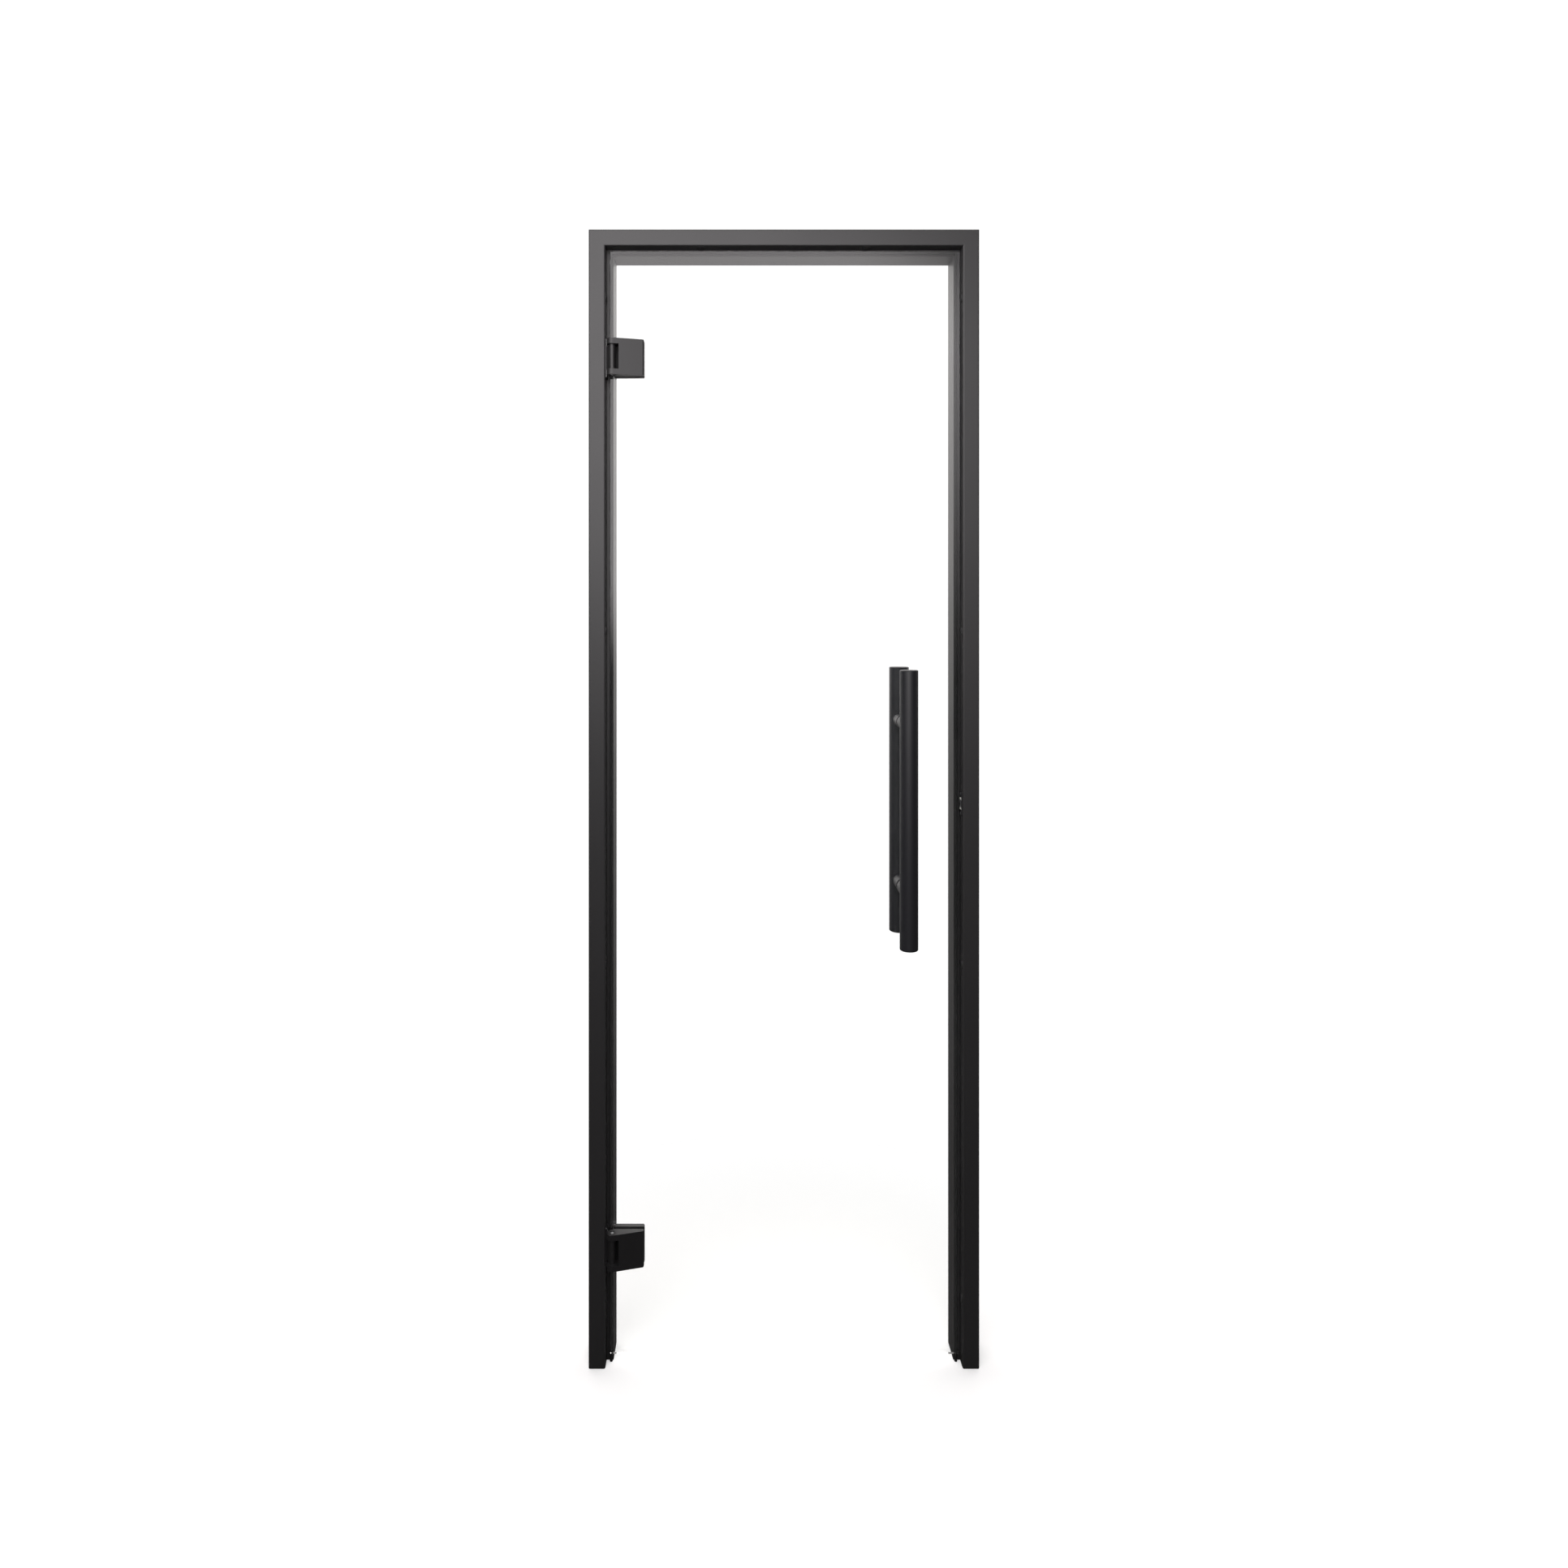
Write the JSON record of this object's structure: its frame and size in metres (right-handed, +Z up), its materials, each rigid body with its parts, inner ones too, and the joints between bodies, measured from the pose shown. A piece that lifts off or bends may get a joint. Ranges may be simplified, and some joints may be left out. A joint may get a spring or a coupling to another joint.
{
  "type": "hinged glass door with frame",
  "caption": "Clear glass door leaf on clamp hinges in a black three-sided aluminium frame, with bar handles on both faces and a sprung roller catch.",
  "frame": {"origin": "on the floor in the middle of the doorway, in the middle plane of the glass", "axes": "+X to the catch side seen from the front, +Y from the front to the back, +Z up"},
  "size_m": [0.7, 0.146, 2.04],
  "materials": {
    "frame_coating": "fine satin black powder coat",
    "hinge_coating": "satin black powder coat",
    "handle_coating": "satin black",
    "black_rubber": "matt",
    "nylon": "moulded",
    "steel": "zinc plated",
    "black_steel": "blacked",
    "black_plastic": "moulded",
    "bare_aluminium": "mill finish",
    "clear_glass": "clear, toughened, polished edges"
  },
  "bodies": {
    "frame": {"hinge_jamb": "frame_coating", "catch_jamb": "frame_coating", "head_rail": "frame_coating", "corner_cleats": "bare_aluminium", "corner_screws": "steel", "hinge_jamb_seal": "black_rubber", "catch_jamb_seal": "black_rubber", "head_seal": "black_rubber", "fixing_caps": "black_plastic", "upper_hinge_bracket": "hinge_coating", "lower_hinge_bracket": "hinge_coating", "upper_hinge_pin": "steel", "lower_hinge_pin": "steel", "hinge_backing_plates": "steel", "hinge_bracket_screws": "steel", "catch_case": "steel", "catch_face_plate": "black_steel", "catch_screws": "steel", "catch_spring": "steel"},
    "catch_fork": {"catch_plunger": "nylon", "catch_axle": "steel"},
    "roller": {"catch_roller": "steel"},
    "leaf": {"glass_pane": "clear_glass", "upper_hinge_front": "hinge_coating", "lower_hinge_front": "hinge_coating", "upper_hinge_back": "hinge_coating", "lower_hinge_back": "hinge_coating", "upper_hinge_pads": "black_rubber", "lower_hinge_pads": "black_rubber", "hinge_clamp_screws": "black_steel", "hinge_sleeves": "nylon", "hinge_bushes": "black_plastic", "front_handle_bar": "handle_coating", "rear_handle_bar": "handle_coating", "front_handle_caps": "handle_coating", "rear_handle_caps": "handle_coating", "front_standoffs": "handle_coating", "rear_standoffs": "handle_coating", "handle_studs": "steel", "handle_spigots": "handle_coating", "handle_sleeves": "nylon", "handle_gaskets": "black_rubber", "handle_bar_screws": "steel", "handle_bar_nuts": "steel", "handle_grub_screws": "black_steel"}
  },
  "joints": [
    {"name": "door_swing", "type": "hinge", "parent": "frame", "child": "leaf", "pos_m": [-0.307, -0.016, 0], "axis": [0, 0, -1], "range_deg": [0, 110]},
    {"name": "catch_press", "type": "slide", "parent": "frame", "child": "catch_fork", "axis": [1, 0, 0], "range_m": [0, 0.003], "stiffness_N_per_m": 2500, "springref_m": -0.002, "deforming": ["catch_spring"]},
    {"name": "catch_roll", "type": "hinge", "parent": "catch_fork", "child": "roller", "pos_m": [0.3218, 0, 1.01], "axis": [0, 0, 1], "continuous": true}
  ]
}
